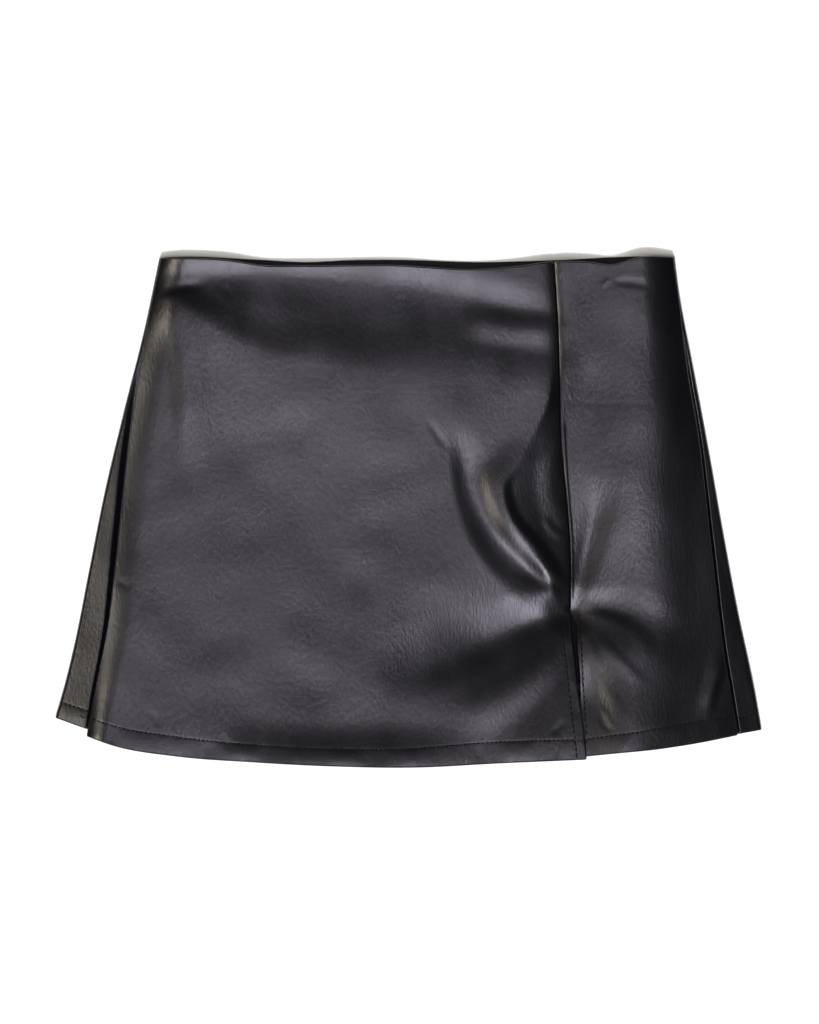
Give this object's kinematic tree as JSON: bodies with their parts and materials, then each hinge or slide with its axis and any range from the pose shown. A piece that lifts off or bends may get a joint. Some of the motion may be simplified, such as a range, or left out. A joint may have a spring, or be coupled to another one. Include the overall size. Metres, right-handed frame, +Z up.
{
  "type": "flat-laid leather skort",
  "caption": "Short A-line skort in black coated leather cloth, laid flat on its back, with a hem slit at one front seam and shorts inside.",
  "frame": {"origin": "on the surface that the skort lies on, under the middle of its outline", "axes": "+X to the right across the front, +Y from hem to waist, +Z up out of the front"},
  "size_m": [0.4772, 0.3446, 0.0141],
  "materials": {
    "leather": "soft semi-gloss black coating with a fine pebble grain",
    "lining": "matt black jersey knit"
  },
  "bodies": {
    "root": {"wide_front": "leather", "side_front": "leather", "back": "leather", "shorts_left_leg": "lining", "shorts_right_leg": "lining"}
  },
  "joints": []
}
